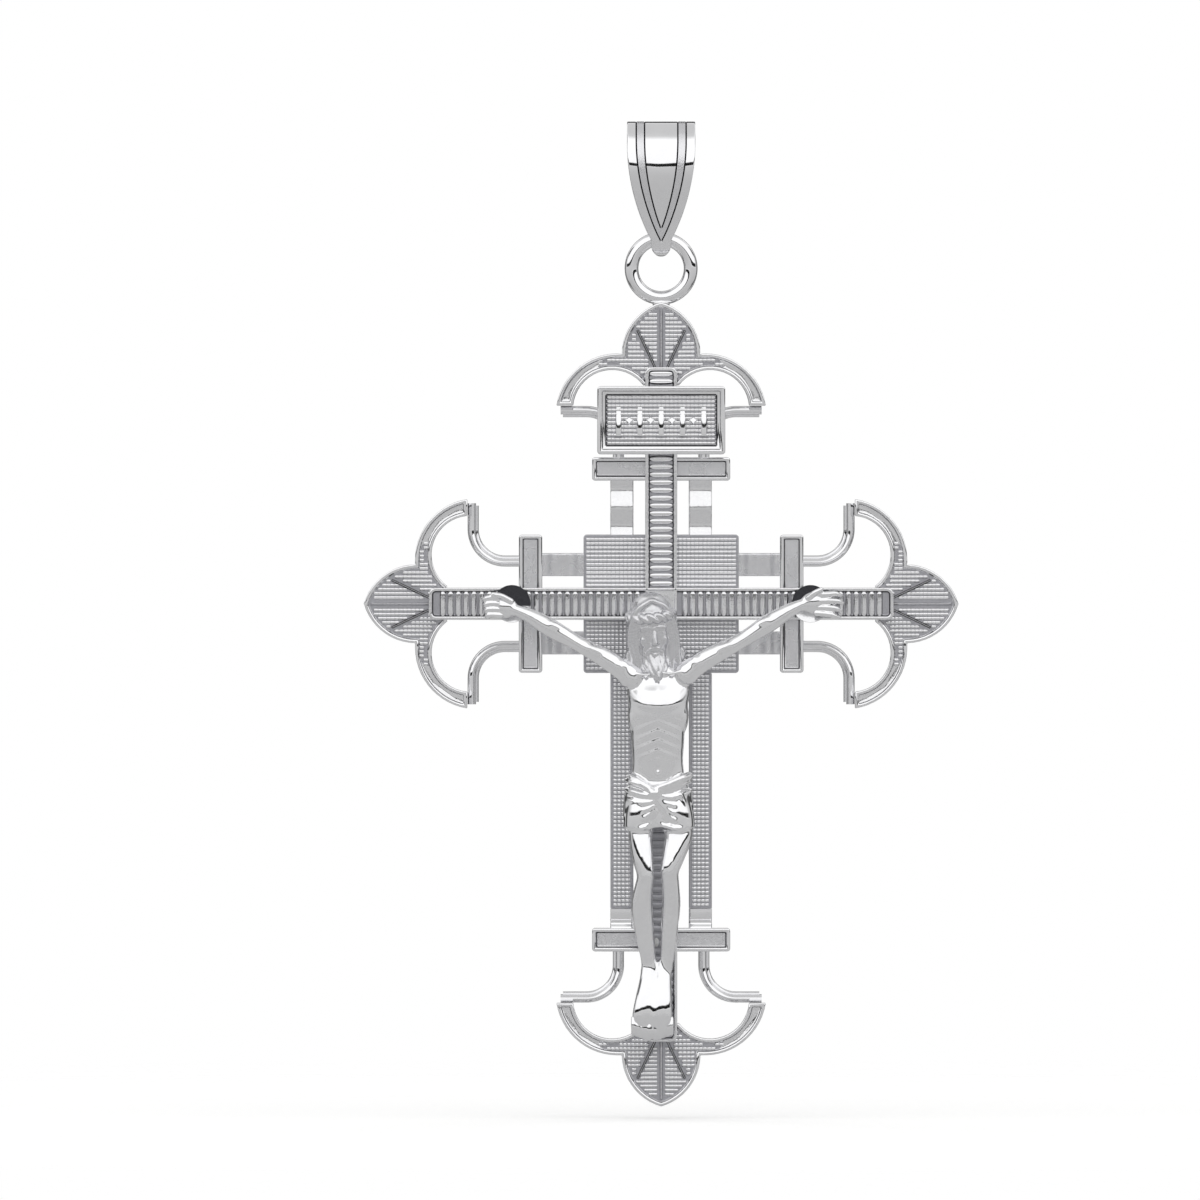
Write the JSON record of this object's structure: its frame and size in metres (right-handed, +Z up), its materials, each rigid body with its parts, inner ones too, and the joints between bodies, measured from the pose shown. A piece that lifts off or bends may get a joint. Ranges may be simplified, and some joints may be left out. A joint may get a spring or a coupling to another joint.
{
  "type": "crucifix pendant",
  "caption": "Small layered metal cross pendant with fleur-de-lis ends, ribbed beams, a cast figure, a jump ring and a swinging tapered bail.",
  "frame": {"origin": "centre of the bail's eye, where the chain passes", "axes": "+Z up along the pendant's long axis, -Y out of the decorated front, +X to the viewer's right"},
  "size_m": [0.028, 0.0049, 0.0462],
  "materials": {
    "polished_metal": "hand-polished rhodium-white precious metal",
    "textured_metal": "stamped bead and rib texture, rhodium-white, satin"
  },
  "bodies": {
    "bail": {"bail": "polished_metal"},
    "cross": {"jump_ring": "polished_metal", "top_finial": "textured_metal", "left_finial": "textured_metal", "right_finial": "textured_metal", "foot_finial": "textured_metal", "top_left_scroll": "polished_metal", "top_right_scroll": "polished_metal", "left_upper_scroll": "polished_metal", "left_lower_scroll": "polished_metal", "right_upper_scroll": "polished_metal", "right_lower_scroll": "polished_metal", "foot_left_scroll": "polished_metal", "foot_right_scroll": "polished_metal", "top_bar": "polished_metal", "left_bar": "polished_metal", "right_bar": "polished_metal", "foot_bar": "polished_metal", "top_left_bridge": "polished_metal", "top_right_bridge": "polished_metal", "left_upper_bridge": "polished_metal", "left_lower_bridge": "polished_metal", "right_upper_bridge": "polished_metal", "right_lower_bridge": "polished_metal", "foot_left_rail": "textured_metal", "foot_right_rail": "textured_metal", "centre_plate": "textured_metal", "upright_beam": "textured_metal", "cross_beam": "textured_metal", "title_plate": "textured_metal", "title_emblem": "polished_metal", "left_hand_peg": "polished_metal", "right_hand_peg": "polished_metal", "foot_peg": "polished_metal", "corpus": "polished_metal"}
  },
  "joints": [
    {"name": "cross_swing", "type": "hinge", "parent": "bail", "child": "cross", "pos_m": [0, 0, -0.00391], "axis": [1, 0, 0], "range_deg": [-120, 120]}
  ]
}
